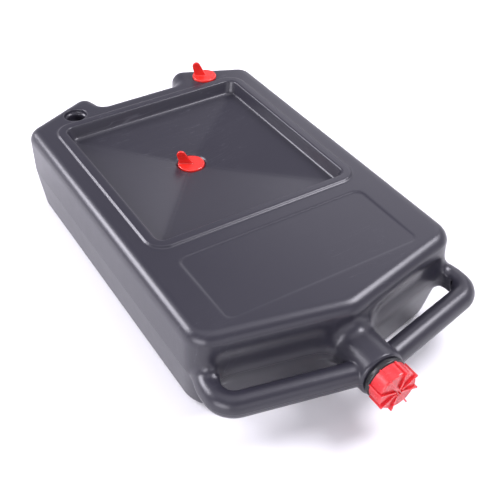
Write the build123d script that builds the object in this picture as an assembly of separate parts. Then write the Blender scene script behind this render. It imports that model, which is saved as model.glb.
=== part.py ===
from math import atan2, cos, degrees, radians, tan
import os

from build123d import *

# Oil drain pan: a blow-moulded tank with a drain tray in its top, a spout and a V-shaped
# carrying handle at the front (-Y), and push-in and screw closures.
# Millimetres, +Z up, origin at the middle of the bounding box's underside.

# ---- driving dimensions: tank walls -------------------------------------------------
WALL = 2.5
HEIGHT = 120.0
HALF_WIDTH = 168.0
PARTING_Z = 63.0         # walls are upright above the mould's parting plane, lean in below
LEAN = 7.0               # how far the side and rear walls have leaned in at the bottom
FRONT_LEAN = 13.5        # the same for the front walls
REAR_Y = 273.0           # middle stretch of the rear wall
NOSE_Y = -229.0          # apex of the front V
V_ANGLE = 13.0
TOP_ROUND = 15.0
BOTTOM_ROUND = 11.0
PARTING_ROUND = 40.0     # softens the bend in the walls at the parting plane
SIDE_CORNER_ROUND = 22.0
FRONT_CORNER_ROUND = 32.0
FRONT_CORNER_ROUND_BELOW = 42.0  # the same corners at the bottom of the walls
NOSE_ROUND = 45.0
EAR_ROUND = 16.5
EAR_ROOT = (56.0, REAR_Y)
EAR_ROOT_ROUND = 10.0
EAR_POINT = (66.0, 311.6)
REAR_CORNER = (HALF_WIDTH, 264.0)
POCKET_INNER_X = 33.0    # hollows in the front walls, one each side of the neck, under the roll
POCKET_OUTER_X = 146.0
POCKET_TOP_Z = 93.0
POCKET_DEPTH = 5.0
POCKET_ROUND = 9.0

# ---- driving dimensions: tray, rim and label panel ----------------------------------
TRAY_WIDTH = 254.0
TRAY_REAR_Y = 234.0
TRAY_FRONT_Y = -36.0
TRAY_ROUND = 11.0
TRAY_DEPTH = 14.0        # floor's edge below the tank's top
TRAY_DRAFT = 5.3         # how far the tray wall leans in from rim to floor
RIM_WIDTH = 11.7
RIM_HEIGHT = 2.6
RIM_EDGE_ROUND = 1.6
RIM_FOOT_ROUND = 0.8
TRAY_FLOOR_ROUND = 3.0
LABEL_WIDTH = 244.0
LABEL_REAR_Y = -70.0
LABEL_FRONT_Y = -178.0
LABEL_ROUND = 11.0
LABEL_DEPTH_REAR = 0.9
LABEL_DEPTH_FRONT = 0.4
LABEL_WALL_LEAN = 50.0   # degrees from upright

# ---- driving dimensions: plugs and their holes --------------------------------------
DRAIN_AT = (0.0, 125.0)
DRAIN_LOW_Z = 84.5       # where the dished floor's facets would meet
SEAT_RADIUS = 19.6
SEAT_Z = 85.2            # flat seat for the drain plug's disc
HOLE_RADIUS = 14.8
BOSS_HOLE_ROUND = 1.2
SOCKET_LEDGE_RADIUS = 12.0
SOCKET_LEDGE_DEPTH = 6.0
SOCKET_DEPTH = 17.0
BOSS_AT = (99.0, 264.5)  # vent hole at +X, parking socket at -X
DRAIN_DISC_RADIUS = 17.4
VENT_DISC_RADIUS = 16.8
DISC_THICKNESS = 3.0
DISC_GAP = 0.15          # between a disc and the face that it rests on
PLUG_FIT = 0.3
STEM_LENGTH = 13.0
DISC_ROUND = 1.2
STEM_CHAMFER = 2.0
TAB_THICKNESS = 3.2
TAB_HEAD_RADIUS = 5.6
TAB_FOOT_INNER = -2.0    # the tab's foot runs from here, past the plug's axis
TAB_FOOT_PAST = 2.0      # to this far beyond the head's centre
DRAIN_TAB = (12.6, 12.7)  # tab head's centre: distance from the plug's axis, height above the disc
VENT_TAB = (10.8, 14.6)
TAB_ROUND = 0.9
TAB_FOOT_ROUND = 1.2
TAB_TURN = 152.0         # direction that the tab leans towards, from +X

# ---- driving dimensions: handle -----------------------------------------------------
GRIP_Z = PARTING_Z       # height of the grip's and the neck's axes
GRIP_RADIUS = 13.6
GRIP_HALF_WIDTH = 159.0
GRIP_NOSE_Y = -267.5
GRIP_ARM_Y = -200.0      # the arms run straight forward from here
GRIP_ROOT = (139.0, -130.0)
GRIP_CORNER_ROUND = 21.0
GRIP_BEND_ROUND = 60.0
BODY_BLEND = 12.0        # fillet where the grip leaves the tank
NECK_BLEND = 14.0        # fillet where the neck leaves the tank

# ---- driving dimensions: neck, thread, seal and cap (all about the neck's axis) ------
NECK_RADIUS = 27.0
NECK_ROOT_Y = -200.0
SHOULDER_Y = -278.0
SHOULDER_ROUND = 3.0
SPIGOT_RADIUS = 18.8
SPIGOT_END_Y = -297.8
BORE_RADIUS = 16.0
PITCH = 4.0
THREAD_TURNS = 1.75
THREAD_HEIGHT = 1.2
THREAD_ROOT_WIDTH = 2.0
THREAD_CREST_WIDTH = 0.9
SPIGOT_THREAD_Y = -295.0  # start of the spigot's thread, at its outer end
CAP_THREAD_SHIFT = -2.0   # the cap's thread runs between the spigot's turns
SEAL_INNER_GAP = 0.1
SEAL_RADIUS = 24.6
SEAL_GROOVE_RADIUS = 22.4
SEAL_GROOVE_WIDTH = 1.8
SEAL_FRONT_Y = -285.4
CAP_REAR_Y = -285.8
CAP_INSIDE_Y = -300.8
CAP_FACE_Y = -302.7
CAP_FRONT_Y = -305.0
CAP_BORE_RADIUS = 20.5
CAP_RADIUS = 23.3
CAP_FACE_ROUND = 1.8
CAP_RIB_RADIUS = 25.2
CAP_RIB_COUNT = 8
CAP_RIB_WIDTH = 1.7
CAP_RIB_INNER = 4.0
CAP_RIB_PHASE = 29.0
LINER_RADIUS = 18.4
LINER_THICKNESS = 2.5
LINER_GAP = 0.2

V_SLOPE = tan(radians(V_ANGLE))
GAP_MIDDLE_Y = -245.0    # on the neck, between the tank's front wall and the grip
TRAY_MIDDLE_Y = (TRAY_REAR_Y + TRAY_FRONT_Y) / 2
TRAY_LENGTH = TRAY_REAR_Y - TRAY_FRONT_Y
FLOOR_EDGE_Z = HEIGHT - TRAY_DEPTH
ABOVE = 20.0             # how far cutting tools run past the faces they open
LABEL_TOOL = 3.0         # the same for the label panel's shallow hollow
NEAR = 0.01              # slack when edges are picked by their place
EDGE_SLACK = 0.5
RIM_SIZE = (TRAY_WIDTH + 2 * RIM_WIDTH, TRAY_LENGTH + 2 * RIM_WIDTH)


def plan_face(lean, nose_lean, front_round, inset):
    """The tank's plan with its walls leaned in, then moved in again by a wall's thickness."""
    nose_y = NOSE_Y + nose_lean
    corners = [
        (*EAR_ROOT, -EAR_ROOT_ROUND),
        (*EAR_POINT, EAR_ROUND),
        (*REAR_CORNER, SIDE_CORNER_ROUND),
        (HALF_WIDTH, nose_y + V_SLOPE * HALF_WIDTH, front_round),
        (0.0, nose_y, NOSE_ROUND),
    ]
    half = [(x, y) for x, y, _ in corners]
    other = [(-x, y) for x, y in reversed(half) if x > 0]
    face = make_face(Polyline(*half, *other, close=True))
    if lean + inset:
        face = offset(face, amount=-lean - inset, kind=Kind.INTERSECTION)
    for x, y, radius in corners:
        for side in {x, -x}:
            corner = face.vertices().sort_by_distance((side, y, 0))[0]
            face = fillet(corner, abs(radius - inset))
    return face


def box_form(inset):
    """The tank's box: upright walls above the parting plane and leaning walls below it."""
    top_z = HEIGHT - inset
    middle = Pos(0, 0, PARTING_Z) * plan_face(0, 0, FRONT_CORNER_ROUND, inset)
    bottom = Pos(0, 0, inset) * plan_face(LEAN, FRONT_LEAN - LEAN, FRONT_CORNER_ROUND_BELOW, inset)
    upper = extrude(middle, top_z - PARTING_Z)
    upper = fillet(upper.edges().group_by(Axis.Z)[-1], TOP_ROUND - inset)
    lower = loft([bottom, middle], ruled=True)
    lower = fillet(lower.edges().group_by(Axis.Z)[0], BOTTOM_ROUND - inset)
    box = upper + lower
    bend = box.edges().filter_by_position(Axis.Z, PARTING_Z, PARTING_Z)
    return fillet(bend, PARTING_ROUND)


def pocket_form(side, grow):
    """A hollow in one front wall: deepest under the roll, running out at the parting plane."""
    height = POCKET_TOP_Z - PARTING_Z
    middle_x = side * (POCKET_INNER_X + POCKET_OUTER_X) / 2
    width = (POCKET_OUTER_X - POCKET_INNER_X) / cos(radians(V_ANGLE))
    wall = Pos(middle_x, NOSE_Y + V_SLOPE * abs(middle_x), PARTING_Z) * Rot(0, 0, side * V_ANGLE) * Rot(90, 0, 0)
    floor = wall * Rot(-degrees(atan2(POCKET_DEPTH, height)), 0, 0)
    outline = RectangleRounded(width + 2 * grow, 2 * (height + grow), POCKET_ROUND + grow)
    return extrude(floor * Pos(0, 0, -grow) * outline, ABOVE)


def grip_form(inset):
    """The carrying handle: a round tube that grows out of the tank's sides."""
    corner_y = GRIP_NOSE_Y + V_SLOPE * GRIP_HALF_WIDTH
    half = [GRIP_ROOT, (GRIP_HALF_WIDTH, GRIP_ARM_Y), (GRIP_HALF_WIDTH, corner_y), (0.0, GRIP_NOSE_Y)]
    other = [(-x, y) for x, y in reversed(half[:-1])]
    bends = [GRIP_BEND_ROUND, GRIP_CORNER_ROUND, GRIP_BEND_ROUND, GRIP_CORNER_ROUND, GRIP_BEND_ROUND]
    path = FilletPolyline(*half, *other, radius=bends)
    start = Plane(origin=path @ 0, z_dir=path % 0)
    return Pos(0, 0, GRIP_Z) * sweep(start * Circle(GRIP_RADIUS - inset), path=path)


def joined(first, second, radius, front_y):
    """Two solids made one, with a fillet where they meet behind front_y."""
    whole = first + second
    seam = new_edges(first, second, combined=whole)
    return fillet([edge for edge in seam if edge.center().Y > front_y], radius)


def body_form(inset):
    """Box, front hollows, grip and neck, blended into one another."""
    body = joined(box_form(inset), grip_form(inset), BODY_BLEND + inset, GRIP_NOSE_Y)
    body = joined(body, neck_form(inset), NECK_BLEND + inset, GAP_MIDDLE_Y)
    for side in (-1, 1):
        body -= pocket_form(side, inset)
    return body


def turned(points):
    """A solid of revolution about the neck's axis from (distance from axis, y) points."""
    profile = make_face(Polyline(*[(radius, y) for radius, y in points], close=True))
    return Pos(0, 0, GRIP_Z) * revolve(profile, Axis.Y)


def neck_form(inset):
    """The neck's barrel, from inside the tank to its shoulder."""
    radius = NECK_RADIUS - inset
    end_y = SHOULDER_Y + inset
    barrel = turned([(0, NECK_ROOT_Y), (radius, NECK_ROOT_Y), (radius, end_y), (0, end_y)])
    return fillet(barrel.edges().group_by(Axis.Y)[0], SHOULDER_ROUND - inset / 2)


def rounded_block(width, rear_y, front_y, radius, low_z, high_z):
    """An upright block with rounded corners, centred on x = 0."""
    plan = Pos(0, (rear_y + front_y) / 2, low_z) * RectangleRounded(width, rear_y - front_y, radius)
    return extrude(plan, high_z - low_z)


def tray_form(grow):
    """The tray's hollow: leaning walls and a floor of four facets falling to the drain seat."""
    width = TRAY_WIDTH + 2 * grow
    length = TRAY_LENGTH + 2 * grow
    lean = 2 * TRAY_DRAFT
    floor_z = FLOOR_EDGE_Z - grow
    rim = Pos(0, TRAY_MIDDLE_Y, HEIGHT + RIM_HEIGHT) * RectangleRounded(width, length, TRAY_ROUND + grow)
    floor = Pos(0, TRAY_MIDDLE_Y, floor_z) * RectangleRounded(width - lean, length - lean, TRAY_ROUND + grow)
    walls = loft([floor, rim])
    walls = fillet(walls.edges().group_by(Axis.Z)[0], TRAY_FLOOR_ROUND + grow)
    opening = extrude(rim, ABOVE)
    corners = [
        (sx * (width - lean) / 2, TRAY_MIDDLE_Y + sy * (length - lean) / 2, floor_z)
        for sx in (-1, 1)
        for sy in (-1, 1)
    ]
    pyramid = ConvexPolyhedron([*corners, (*DRAIN_AT, DRAIN_LOW_Z - grow)])
    below = extrude(floor, DRAIN_LOW_Z - ABOVE - floor_z)
    return walls + opening + (pyramid & below)


def upright_cylinder(place, radius, low_z, high_z):
    """A cylinder from one height to another at a plan position."""
    return Pos(*place, low_z) * extrude(Circle(radius), high_z - low_z)


def socket_form(grow):
    """The parking socket's hollow: a hole with a ledge and a blind bottom."""
    place = (-BOSS_AT[0], BOSS_AT[1])
    mouth = upright_cylinder(place, HOLE_RADIUS + grow, HEIGHT - SOCKET_LEDGE_DEPTH - grow, HEIGHT + ABOVE)
    foot = upright_cylinder(
        place, SOCKET_LEDGE_RADIUS + grow, HEIGHT - SOCKET_DEPTH - grow, HEIGHT - SOCKET_LEDGE_DEPTH
    )
    return mouth + foot


def drain_seat_form(grow):
    """The round seat that the drain plug's disc lies in, at the bottom of the tray."""
    return upright_cylinder(DRAIN_AT, SEAT_RADIUS + grow, SEAT_Z - grow, FLOOR_EDGE_Z)


def label_form():
    """The label panel's shallow hollow, deeper at the rear than at the front."""
    length = LABEL_REAR_Y - LABEL_FRONT_Y
    tilt = -(LABEL_DEPTH_REAR - LABEL_DEPTH_FRONT) / length
    middle_y = (LABEL_REAR_Y + LABEL_FRONT_Y) / 2
    middle_z = HEIGHT - (LABEL_DEPTH_REAR + LABEL_DEPTH_FRONT) / 2
    floor = Plane(origin=(0, middle_y, middle_z), x_dir=(1, 0, 0), z_dir=(0, -tilt, 1))
    return extrude(floor * RectangleRounded(LABEL_WIDTH, length, LABEL_ROUND), LABEL_TOOL, taper=-LABEL_WALL_LEAN)


def rim_form():
    """The raised rim round the tray."""
    rim = rounded_block(
        RIM_SIZE[0],
        TRAY_REAR_Y + RIM_WIDTH,
        TRAY_FRONT_Y - RIM_WIDTH,
        TRAY_ROUND + RIM_WIDTH,
        HEIGHT - WALL,
        HEIGHT + RIM_HEIGHT,
    )
    return fillet(rim.edges().group_by(Axis.Z)[-1], RIM_EDGE_ROUND)


def thread_form(root_radius, outwards, start_y):
    """A helical ridge about the neck's axis; it climbs inwards (+Y) from start_y."""
    helix = Helix(PITCH, PITCH * THREAD_TURNS, root_radius, center=(0, start_y, GRIP_Z), direction=(0, 1, 0))
    start = helix @ 0
    out = (start - Vector(0, start_y, GRIP_Z)).normalized()
    section = Plane(origin=start, x_dir=out, z_dir=helix % 0)
    bury = -0.4 if outwards else 0.4
    tip = THREAD_HEIGHT if outwards else -THREAD_HEIGHT
    ridge = make_face(
        Polyline(
            (bury, -THREAD_ROOT_WIDTH / 2),
            (tip, -THREAD_CREST_WIDTH / 2),
            (tip, THREAD_CREST_WIDTH / 2),
            (bury, THREAD_ROOT_WIDTH / 2),
            close=True,
        )
    )
    return sweep(section * ridge, path=helix, is_frenet=True)


def flat_edges(shape, z, middle, size):
    """The edges at height z inside a plan rectangle, given by its middle and its size."""

    def inside(edge):
        box = edge.bounding_box()
        level = abs(box.min.Z - z) < NEAR and abs(box.max.Z - z) < NEAR
        across = max(middle[0] - box.min.X, box.max.X - middle[0])
        along = max(middle[1] - box.min.Y, box.max.Y - middle[1])
        return level and across < size[0] / 2 + EDGE_SLACK and along < size[1] / 2 + EDGE_SLACK

    return shape.edges().filter_by(inside)


def make_tank():
    """The whole hollow moulding."""
    tray_middle = (0, TRAY_MIDDLE_Y)
    outer = body_form(0) + rim_form()
    outer = fillet(flat_edges(outer, HEIGHT, tray_middle, RIM_SIZE), RIM_FOOT_ROUND)
    outer += turned([(0, SHOULDER_Y + WALL), (SPIGOT_RADIUS, SHOULDER_Y + WALL),
                     (SPIGOT_RADIUS, SPIGOT_END_Y), (0, SPIGOT_END_Y)])
    outer += thread_form(SPIGOT_RADIUS, True, SPIGOT_THREAD_Y)
    inner = body_form(WALL)
    inner -= tray_form(WALL)
    inner -= drain_seat_form(WALL)
    inner -= socket_form(WALL)
    tank = outer - inner
    tank -= tray_form(0)
    tank -= drain_seat_form(0)
    tank -= upright_cylinder(DRAIN_AT, HOLE_RADIUS, SEAT_Z - ABOVE, FLOOR_EDGE_Z)
    mouth = flat_edges(tank, HEIGHT + RIM_HEIGHT, tray_middle, (TRAY_WIDTH, TRAY_LENGTH))
    tank = fillet(mouth, RIM_EDGE_ROUND)
    tank -= upright_cylinder(BOSS_AT, HOLE_RADIUS, HEIGHT - ABOVE, HEIGHT + ABOVE)
    tank -= socket_form(0)
    for side in (-1, 1):
        hole = flat_edges(tank, HEIGHT, (side * BOSS_AT[0], BOSS_AT[1]), (2 * HOLE_RADIUS, 2 * HOLE_RADIUS))
        tank = fillet(hole, BOSS_HOLE_ROUND)
    tank -= label_form()
    tank -= turned([(0, SHOULDER_Y + ABOVE), (BORE_RADIUS, SHOULDER_Y + ABOVE),
                    (BORE_RADIUS, SPIGOT_END_Y - ABOVE), (0, SPIGOT_END_Y - ABOVE)])
    return tank


def make_plug(disc_radius, tab_head):
    """A push-in plug at the origin: disc on z = 0, stem below and thumb tab above."""
    disc = extrude(Circle(disc_radius), DISC_THICKNESS)
    head = Pos(*tab_head) * Circle(TAB_HEAD_RADIUS)
    foot_end = tab_head[0] + TAB_FOOT_PAST
    foot = Pos((TAB_FOOT_INNER + foot_end) / 2, -DISC_THICKNESS / 2)
    foot *= Rectangle(foot_end - TAB_FOOT_INNER, DISC_THICKNESS)
    blade = make_hull(head.edges() + foot.edges())
    tab = Pos(0, 0, DISC_THICKNESS) * extrude(Plane.XZ * blade, TAB_THICKNESS / 2, both=True)
    top = disc + tab
    top = fillet(new_edges(disc, tab, combined=top), TAB_FOOT_ROUND)
    sides = [
        edge for edge in top.edges()
        if edge.center().Z > DISC_THICKNESS + TAB_FOOT_ROUND
        and abs(abs(edge.center().Y) - TAB_THICKNESS / 2) < NEAR
    ]
    top = fillet(sides, TAB_ROUND)
    lip = top.edges().filter_by(GeomType.CIRCLE).filter_by_position(Axis.Z, DISC_THICKNESS, DISC_THICKNESS)
    top = fillet(lip.filter_by(lambda edge: edge.radius > HOLE_RADIUS), DISC_ROUND)
    stem_radius = HOLE_RADIUS - PLUG_FIT
    stem = extrude(Circle(stem_radius), -STEM_LENGTH)
    stem = chamfer(stem.edges().group_by(Axis.Z)[0], STEM_CHAMFER)
    hollow = extrude(Pos(0, 0, -STEM_LENGTH) * Circle(stem_radius - WALL), STEM_LENGTH - WALL)
    return Rot(0, 0, TAB_TURN) * (top + stem - hollow)


def make_neck_seal():
    """The rubber ring between the neck's shoulder and the cap: a groove, then a round bead."""
    inner = SPIGOT_RADIUS + SEAL_INNER_GAP
    rear_y = SHOULDER_Y - SEAL_INNER_GAP
    bead_y = rear_y - SEAL_GROOVE_WIDTH
    groove = turned([(inner, rear_y), (SEAL_GROOVE_RADIUS, rear_y), (SEAL_GROOVE_RADIUS, bead_y), (inner, bead_y)])
    bead = turned([(inner, bead_y), (SEAL_RADIUS, bead_y), (SEAL_RADIUS, SEAL_FRONT_Y), (inner, SEAL_FRONT_Y)])
    outside = bead.edges().filter_by(GeomType.CIRCLE).filter_by(lambda e: e.radius > SEAL_GROOVE_RADIUS)
    return groove + fillet(outside, 1.5)


def make_spout_cap():
    """The screw cap: a cup with an internal thread and eight ribs on its side and face."""
    cup = turned([(0, CAP_REAR_Y), (CAP_RADIUS, CAP_REAR_Y), (CAP_RADIUS, CAP_FACE_Y), (0, CAP_FACE_Y)])
    cup = fillet(cup.edges().group_by(Axis.Y)[0], CAP_FACE_ROUND)
    length = CAP_REAR_Y - CAP_FRONT_Y
    reach = CAP_RIB_RADIUS - CAP_RIB_INNER
    rib = Pos(CAP_RIB_INNER + reach / 2, (CAP_REAR_Y + CAP_FRONT_Y) / 2, 0) * Box(reach, length, CAP_RIB_WIDTH)
    for turn in range(CAP_RIB_COUNT):
        angle = CAP_RIB_PHASE + 360 * turn / CAP_RIB_COUNT
        cup += Pos(0, 0, GRIP_Z) * Rot(0, -angle, 0) * rib
    cup -= turned([(0, CAP_REAR_Y + ABOVE), (CAP_BORE_RADIUS, CAP_REAR_Y + ABOVE),
                   (CAP_BORE_RADIUS, CAP_INSIDE_Y), (0, CAP_INSIDE_Y)])
    return cup + thread_form(CAP_BORE_RADIUS, False, SPIGOT_THREAD_Y + CAP_THREAD_SHIFT)


def make_cap_liner():
    """The soft disc in the cap that closes the spout's end."""
    front_y = CAP_INSIDE_Y + LINER_GAP
    rear_y = front_y + LINER_THICKNESS
    return turned([(0, rear_y), (LINER_RADIUS, rear_y), (LINER_RADIUS, front_y), (0, front_y)])


def main():
    nodes = {
        "tank": make_tank(),
        "drain_plug": Pos(*DRAIN_AT, SEAT_Z + DISC_GAP) * make_plug(DRAIN_DISC_RADIUS, DRAIN_TAB),
        "vent_plug": Pos(*BOSS_AT, HEIGHT + DISC_GAP) * make_plug(VENT_DISC_RADIUS, VENT_TAB),
        "neck_seal": make_neck_seal(),
        "spout_cap": make_spout_cap(),
        "cap_liner": make_cap_liner(),
    }
    os.makedirs("parts", exist_ok=True)
    for name, shape in nodes.items():
        export_step(shape, f"parts/{name}.step")


main()
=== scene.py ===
import math

import bpy
import numpy as np
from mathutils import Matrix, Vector


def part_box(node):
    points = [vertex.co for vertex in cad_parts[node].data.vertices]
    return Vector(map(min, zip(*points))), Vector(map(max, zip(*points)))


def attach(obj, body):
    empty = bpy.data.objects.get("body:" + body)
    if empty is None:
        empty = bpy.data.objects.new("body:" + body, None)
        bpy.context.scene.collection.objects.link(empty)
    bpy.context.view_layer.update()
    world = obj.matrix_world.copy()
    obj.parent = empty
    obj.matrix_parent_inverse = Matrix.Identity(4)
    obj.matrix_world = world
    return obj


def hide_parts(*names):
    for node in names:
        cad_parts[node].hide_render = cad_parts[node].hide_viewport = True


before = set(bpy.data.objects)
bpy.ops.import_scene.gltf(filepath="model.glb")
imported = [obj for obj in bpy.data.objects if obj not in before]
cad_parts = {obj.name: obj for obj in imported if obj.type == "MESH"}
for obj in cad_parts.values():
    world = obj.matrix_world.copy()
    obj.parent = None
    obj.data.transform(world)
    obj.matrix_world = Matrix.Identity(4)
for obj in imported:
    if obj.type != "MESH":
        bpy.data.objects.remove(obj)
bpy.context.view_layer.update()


# ---- material helpers ---------------------------------------------------------------

class Nodes:
    """Short names for building one material's node tree."""

    def __init__(self, name):
        self.material = bpy.data.materials.new(name)
        self.material.use_nodes = True
        self.tree = self.material.node_tree
        self.shader = self.tree.nodes["Principled BSDF"]
        self.place = self.tree.nodes.new("ShaderNodeTexCoord").outputs["Object"]

    def link(self, source, target):
        self.tree.links.new(source, target)

    def mapping(self, scale, turn=(0, 0, 0)):
        node = self.tree.nodes.new("ShaderNodeMapping")
        node.inputs["Scale"].default_value = scale
        node.inputs["Rotation"].default_value = turn
        self.link(self.place, node.inputs["Vector"])
        return node.outputs["Vector"]

    def noise(self, scale, detail=2.0, rough=0.5, distortion=0.0, vector=None):
        node = self.tree.nodes.new("ShaderNodeTexNoise")
        node.inputs["Scale"].default_value = scale
        node.inputs["Detail"].default_value = detail
        node.inputs["Roughness"].default_value = rough
        node.inputs["Distortion"].default_value = distortion
        self.link(vector or self.place, node.inputs["Vector"])
        return node.outputs["Fac"]

    def ramp(self, value, stops):
        node = self.tree.nodes.new("ShaderNodeValToRGB")
        elements = node.color_ramp.elements
        while len(elements) < len(stops):
            elements.new(0.5)
        for element, (position, shade) in zip(elements, stops):
            element.position = position
            element.color = (shade, shade, shade, 1.0)
        self.link(value, node.inputs["Fac"])
        return node.outputs["Color"]

    def maths(self, operation, first, second):
        node = self.tree.nodes.new("ShaderNodeMath")
        node.operation = operation
        for socket, value in zip(node.inputs, (first, second)):
            if isinstance(value, (int, float)):
                socket.default_value = value
            else:
                self.link(value, socket)
        return node.outputs["Value"]

    def mix(self, factor, first, second):
        node = self.tree.nodes.new("ShaderNodeMix")
        node.data_type = "RGBA"
        self.link(factor, node.inputs["Factor"])
        for socket, value in ((node.inputs["A"], first), (node.inputs["B"], second)):
            if isinstance(value, tuple):
                socket.default_value = (*value, 1.0)
            else:
                self.link(value, socket)
        return node.outputs["Result"]

    def remap(self, value, low, high):
        node = self.tree.nodes.new("ShaderNodeMapRange")
        node.inputs["To Min"].default_value = low
        node.inputs["To Max"].default_value = high
        self.link(value, node.inputs["Value"])
        return node.outputs["Result"]

    def bump(self, height, strength, distance, below=None):
        node = self.tree.nodes.new("ShaderNodeBump")
        node.inputs["Strength"].default_value = strength
        node.inputs["Distance"].default_value = distance
        self.link(height, node.inputs["Height"])
        if below:
            self.link(below, node.inputs["Normal"])
        return node.outputs["Normal"]

    def parting_line(self, height, half_width):
        """A thin ridge round the object at one height, 0 to 1."""
        apart = self.tree.nodes.new("ShaderNodeSeparateXYZ")
        self.link(self.place, apart.inputs["Vector"])
        wander = self.maths("MULTIPLY", self.noise(6.0), PARTING_WANDER)
        line_z = self.maths("ADD", wander, height)
        off = self.maths("ABSOLUTE", self.maths("SUBTRACT", apart.outputs["Z"], line_z), 0)
        share = self.maths("DIVIDE", off, half_width)
        return self.maths("MAXIMUM", self.maths("SUBTRACT", 1.0, share), 0.0)

    def scratches(self, scale, stretch, turn, width, amount):
        """Thin broken lines along one direction, 0 to 1."""
        vector = self.mapping((1.0, stretch, 1.0), (0, 0, math.radians(turn)))
        line = self.ramp(
            self.noise(scale, 1.0, 0.4, 0.6, vector),
            [(0.5 - width, 0.0), (0.5, 1.0), (0.5 + width, 0.0)],
        )
        broken = self.noise(scale * 0.9, 1.0)
        mask = self.ramp(broken, [(1 - amount, 0.0), (1.04 - amount, 1.0)])
        return self.maths("MULTIPLY", line, mask)


PARTING_Z = 0.063          # height of the line that the mould's two halves leave
PARTING_HALF_WIDTH = 0.0005
PARTING_WANDER = 0.0006    # how far the line strays up and down
CHARCOAL = (0.0180, 0.0172, 0.0250)
CHARCOAL_WORN = (0.0225, 0.0215, 0.0300)
SCUFFED = (0.090, 0.090, 0.104)
SCUFF_SHARE = 0.40         # how far a scuff's colour replaces the plastic's


def tank_plastic():
    n = Nodes("tank_plastic")
    cloud = n.noise(5.0, 3.0)
    mottled = n.noise(60.0, 3.0, 0.6)
    colour = n.mix(n.remap(cloud, 0.2, 0.8), CHARCOAL, CHARCOAL_WORN)
    fine = n.scratches(9.0, 22.0, 38.0, 0.005, 0.40)
    other = n.scratches(7.0, 26.0, -17.0, 0.004, 0.38)
    scuff = n.maths("MAXIMUM", fine, other)
    colour = n.mix(n.maths("MULTIPLY", scuff, SCUFF_SHARE), colour, SCUFFED)
    n.link(colour, n.shader.inputs["Base Color"])
    worn = n.maths("ADD", n.maths("MULTIPLY", mottled, 0.5), n.maths("MULTIPLY", cloud, 0.5))
    rough = n.remap(worn, 0.27, 0.38)
    n.link(rough, n.shader.inputs["Roughness"])
    grain = n.bump(n.noise(1500.0, 2.0), 0.10, 0.0002)
    ripple = n.bump(n.noise(14.0, 2.0), 0.10, 0.0016, grain)
    cut = n.bump(scuff, 0.15, 0.0002, ripple)
    line = n.parting_line(PARTING_Z, PARTING_HALF_WIDTH)
    n.link(n.bump(line, 0.5, 0.0004, cut), n.shader.inputs["Normal"])
    n.shader.inputs["Specular IOR Level"].default_value = 0.5
    return n.material


def red_plastic(name, colour, darker, roughness, coat):
    n = Nodes(name)
    patches = n.noise(70.0, 3.0)
    n.link(n.mix(n.remap(patches, 0.1, 0.9), darker, colour), n.shader.inputs["Base Color"])
    uneven = n.remap(n.noise(240.0, 3.0), roughness - 0.06, roughness + 0.06)
    n.link(uneven, n.shader.inputs["Roughness"])
    n.link(n.bump(n.noise(900.0, 3.0), 0.12, 0.0002), n.shader.inputs["Normal"])
    n.shader.inputs["Subsurface Weight"].default_value = 0.45
    n.shader.inputs["Subsurface Radius"].default_value = (0.006, 0.0014, 0.0010)
    n.shader.inputs["Subsurface Scale"].default_value = 1.0
    n.shader.inputs["Coat Weight"].default_value = coat
    n.shader.inputs["Coat Roughness"].default_value = 0.15
    return n.material


def rubber(name, colour, lighter, roughness):
    n = Nodes(name)
    n.link(n.mix(n.noise(90.0, 3.0), colour, lighter), n.shader.inputs["Base Color"])
    uneven = n.remap(n.noise(300.0, 2.0), roughness - 0.05, roughness + 0.08)
    n.link(uneven, n.shader.inputs["Roughness"])
    n.link(n.bump(n.noise(1200.0, 2.0), 0.15, 0.0002), n.shader.inputs["Normal"])
    return n.material


def dress(node, material):
    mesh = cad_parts[node].data
    mesh.materials.clear()
    mesh.materials.append(material)


TANK = tank_plastic()
PLUG_RED = red_plastic("plug_plastic", (0.66, 0.020, 0.012), (0.56, 0.014, 0.010), 0.36, 0.25)
CAP_RED = red_plastic("cap_plastic", (0.64, 0.025, 0.030), (0.50, 0.014, 0.020), 0.26, 0.5)
SEAL = rubber("seal_rubber", (0.010, 0.010, 0.011), (0.018, 0.018, 0.019), 0.28)
LINER = rubber("liner_rubber", (0.45, 0.45, 0.43), (0.52, 0.52, 0.50), 0.7)

dress("drain_plug", PLUG_RED)
dress("vent_plug", PLUG_RED)
dress("spout_cap", CAP_RED)
dress("neck_seal", SEAL)
dress("cap_liner", LINER)


# ---- the tank as a soft moulding ----------------------------------------------------

VOXEL = 0.0013             # edge of the even mesh's squares
SOFTENING = 4              # rounds of smoothing over the whole tank
KEPT_SHARE = 0.22          # share of the faces kept in the end
POCKET_ROUNDS = 60
TRAY_HALF_WIDTH = 0.1217   # the tray's floor, at its edge
TRAY_REAR_Y = 0.2287
TRAY_FRONT_Y = -0.0307
TRAY_EDGE_Z = 0.106
DRAIN_LOW = (0.0, 0.125, 0.0845)
SEAT_RADIUS = 0.0196
CREASE_SOFTNESS = 0.0007
FACETS_FROM_EDGE = 0.003   # no facet's crease is rounded nearer than this to the walls
FACETS_FROM_SEAT = 0.001   # or than this to the drain plug's seat
FACETS_FADE = 0.012        # and from there the rounding grows over this width
FLOOR_REACH = 0.0012       # how far from the facets a vertex still counts as the floor
FRONT_APEX_Y = -0.229
FRONT_SLOPE = math.tan(math.radians(13.0))
POCKET_BEHIND_FRONT = (0.003, 0.009)  # the hollows under the roll: middle and half-width
POCKET_ACROSS = (0.090, 0.070)
POCKET_UP = (0.050, 0.1095)


def evaluated(thing):
    """A fresh mesh of an object with its modifiers applied."""
    shaped = thing.evaluated_get(bpy.context.evaluated_depsgraph_get())
    return bpy.data.meshes.new_from_object(shaped)


def faded(distance, width):
    """0 at an edge, rising smoothly to 1 at a width inside it."""
    share = np.clip(distance / width, 0.0, 1.0)
    return share * share * (3 - 2 * share)


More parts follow.
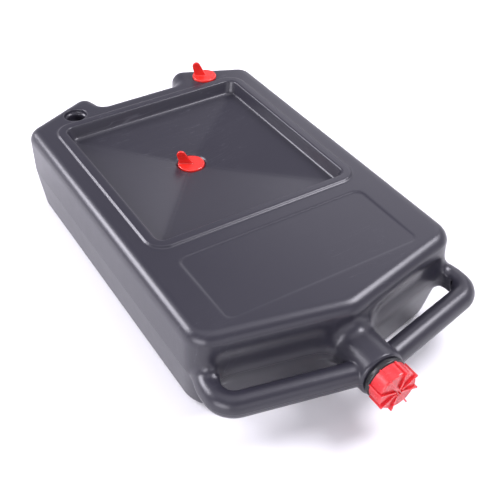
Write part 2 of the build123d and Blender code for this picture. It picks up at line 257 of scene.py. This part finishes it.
def soften_creases(places):
    """Rounds the creases between the four facets of the tray's floor."""
    x, y, z = places.T
    fall = TRAY_EDGE_Z - DRAIN_LOW[2]
    planes = DRAIN_LOW[2] + fall * np.stack([
        x / TRAY_HALF_WIDTH,
        -x / TRAY_HALF_WIDTH,
        (y - DRAIN_LOW[1]) / (TRAY_REAR_Y - DRAIN_LOW[1]),
        (DRAIN_LOW[1] - y) / (DRAIN_LOW[1] - TRAY_FRONT_Y),
    ])
    sharp = planes.max(axis=0)
    raised = np.log(np.exp((planes - sharp) / CREASE_SOFTNESS).sum(axis=0))
    soft = sharp + CREASE_SOFTNESS * raised
    from_walls = np.minimum.reduce(
        [TRAY_HALF_WIDTH - np.abs(x), TRAY_REAR_Y - y, y - TRAY_FRONT_Y]
    )
    from_seat = np.hypot(x - DRAIN_LOW[0], y - DRAIN_LOW[1]) - SEAT_RADIUS
    share = faded(from_walls - FACETS_FROM_EDGE, FACETS_FADE)
    share *= faded(from_seat - FACETS_FROM_SEAT, FACETS_FADE)
    on_floor = np.abs(z - sharp) < FLOOR_REACH
    places[:, 2] += np.where(on_floor, (soft - sharp) * share, 0.0)


def relax(mesh, places, chosen, rounds):
    """Moves the chosen vertices towards their neighbours' middle, over and over."""
    ends = np.zeros(len(mesh.edges) * 2, np.int64)
    mesh.edges.foreach_get("vertices", ends)
    ends = ends.reshape(-1, 2)
    ends = ends[chosen[ends].any(axis=1)]
    used, ends = np.unique(ends, return_inverse=True)
    ends = ends.reshape(-1, 2)
    near = places[used].astype(np.float64)
    free = chosen[used]
    start = np.concatenate([ends[:, 0], ends[:, 1]])
    other = np.concatenate([ends[:, 1], ends[:, 0]])
    count = np.bincount(start, minlength=len(used))
    for _ in range(rounds):
        sums = [np.bincount(start, near[other, axis], len(used)) for axis in range(3)]
        middle = np.stack(sums, axis=1)
        near[free] = (middle / count[:, None])[free]
    places[used] = near


def in_pockets(places):
    """Which vertices belong to the hollows under the roll, on both sides of the neck."""
    x, y, z = places.T
    behind_front = y - FRONT_APEX_Y - FRONT_SLOPE * np.abs(x)
    middle, reach = POCKET_BEHIND_FRONT
    chosen = np.abs(behind_front - middle) < reach
    middle, reach = POCKET_ACROSS
    chosen &= np.abs(np.abs(x) - middle) < reach
    return chosen & (z > POCKET_UP[0]) & (z < POCKET_UP[1])


def moulding():
    """The tank's surface, evenly remeshed and relaxed so that every edge is a little soft."""
    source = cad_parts["tank"]
    tank = bpy.data.objects.new("tank_moulding", source.data.copy())
    bpy.context.scene.collection.objects.link(tank)
    even = tank.modifiers.new("even", "REMESH")
    even.mode = "VOXEL"
    even.voxel_size = VOXEL
    even.use_smooth_shade = True
    soft = tank.modifiers.new("soft", "SMOOTH")
    soft.factor = 0.5
    soft.iterations = SOFTENING
    mesh = evaluated(tank)
    tank.modifiers.clear()
    tank.data = mesh
    places = np.zeros(len(mesh.vertices) * 3, np.float32)
    mesh.vertices.foreach_get("co", places)
    places = places.reshape(-1, 3)
    soften_creases(places)
    relax(mesh, places, in_pockets(places), POCKET_ROUNDS)
    places = np.clip(places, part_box("tank")[0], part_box("tank")[1])
    mesh.vertices.foreach_set("co", places.astype(np.float32).ravel())
    mesh.update()
    fewer = tank.modifiers.new("fewer", "DECIMATE")
    fewer.ratio = KEPT_SHARE
    mesh = evaluated(tank)
    tank.modifiers.clear()
    tank.data = mesh
    mesh.materials.clear()
    mesh.materials.append(TANK)
    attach(tank, "tank")
    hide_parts("tank")


moulding()


# ---- floor, lights and camera -------------------------------------------------------

FLOOR_HALF_SIZE = 14.0
FLOOR_GREY = (0.86, 0.86, 0.86)
FLOOR_PALER = (0.88, 0.88, 0.88)
LIGHT_TINT = (0.985, 0.96, 1.06)
WORLD_STOPS = [(0.0, 0.95), (0.22, 0.85), (0.50, 0.30), (1.0, 0.5)]  # height, brightness


def floor():
    n = Nodes("floor")
    colour = n.mix(n.noise(3.0), FLOOR_GREY, FLOOR_PALER)
    n.link(colour, n.shader.inputs["Base Color"])
    n.shader.inputs["Roughness"].default_value = 0.8
    mesh = bpy.data.meshes.new("floor")
    size = FLOOR_HALF_SIZE
    corners = [(-size, -size, 0), (size, -size, 0), (size, size, 0), (-size, size, 0)]
    mesh.from_pydata(corners, [], [(0, 1, 2, 3)])
    mesh.materials.append(n.material)
    plane = bpy.data.objects.new("floor", mesh)
    bpy.context.scene.collection.objects.link(plane)
    return plane


def softbox(name, place, width, height, watts, aim=(0, 0, 0.1)):
    """A rectangular area light that faces a point."""
    light = bpy.data.lights.new(name, "AREA")
    light.shape = "RECTANGLE"
    light.size = width
    light.size_y = height
    light.energy = watts
    light.color = LIGHT_TINT
    box = bpy.data.objects.new(name, light)
    box.location = place
    box.rotation_mode = "QUATERNION"
    box.rotation_quaternion = (Vector(aim) - Vector(place)).to_track_quat("-Z", "Y")
    bpy.context.scene.collection.objects.link(box)


def surroundings():
    """A plain room: pale near the horizon, dimmer above it."""
    world = bpy.data.worlds.new("world")
    world.use_nodes = True
    tree = world.node_tree
    place = tree.nodes.new("ShaderNodeTexCoord").outputs["Generated"]
    apart = tree.nodes.new("ShaderNodeSeparateXYZ")
    tree.links.new(place, apart.inputs["Vector"])
    ramp = tree.nodes.new("ShaderNodeValToRGB")
    tree.links.new(apart.outputs["Z"], ramp.inputs["Fac"])
    elements = ramp.color_ramp.elements
    while len(elements) < len(WORLD_STOPS):
        elements.new(0.5)
    for element, (position, shade) in zip(elements, WORLD_STOPS):
        element.position = position
        element.color = (*(shade * tint for tint in LIGHT_TINT), 1.0)
    tree.links.new(ramp.outputs["Color"], tree.nodes["Background"].inputs["Color"])
    bpy.context.scene.world = world


floor()
surroundings()
softbox("key", (1.2, -0.45, 1.7), 1.0, 0.8, 42)
softbox("overhead", (0.0, 0.0, 2.0), 1.8, 1.6, 9, (0, 0, 0))
softbox("rear left", (-1.3, 1.4, 1.2), 1.0, 0.8, 44)
softbox("rear right", (1.5, 1.2, 1.2), 1.5, 1.0, 6)
softbox("left", (-1.9, -0.9, 0.8), 1.4, 1.0, 30)
softbox("front", (-0.3, -2.4, 1.0), 1.8, 1.2, 9)
bpy.context.scene.view_settings.view_transform = "Standard"

AZIMUTH = math.radians(-31.46)   # the way the camera looks
ELEVATION = math.radians(39.96)  # and how far down
camera = bpy.data.cameras.new("camera")
camera.sensor_width = 36.0
camera.lens = 62.05
camera.shift_x = 0.0063
camera.shift_y = -0.0034
eye = bpy.data.objects.new("camera", camera)
eye.location = (-0.4249, -0.7083, 0.7244)
eye.rotation_euler = (math.pi / 2 - ELEVATION, 0, AZIMUTH)
bpy.context.scene.collection.objects.link(eye)
bpy.context.scene.camera = eye
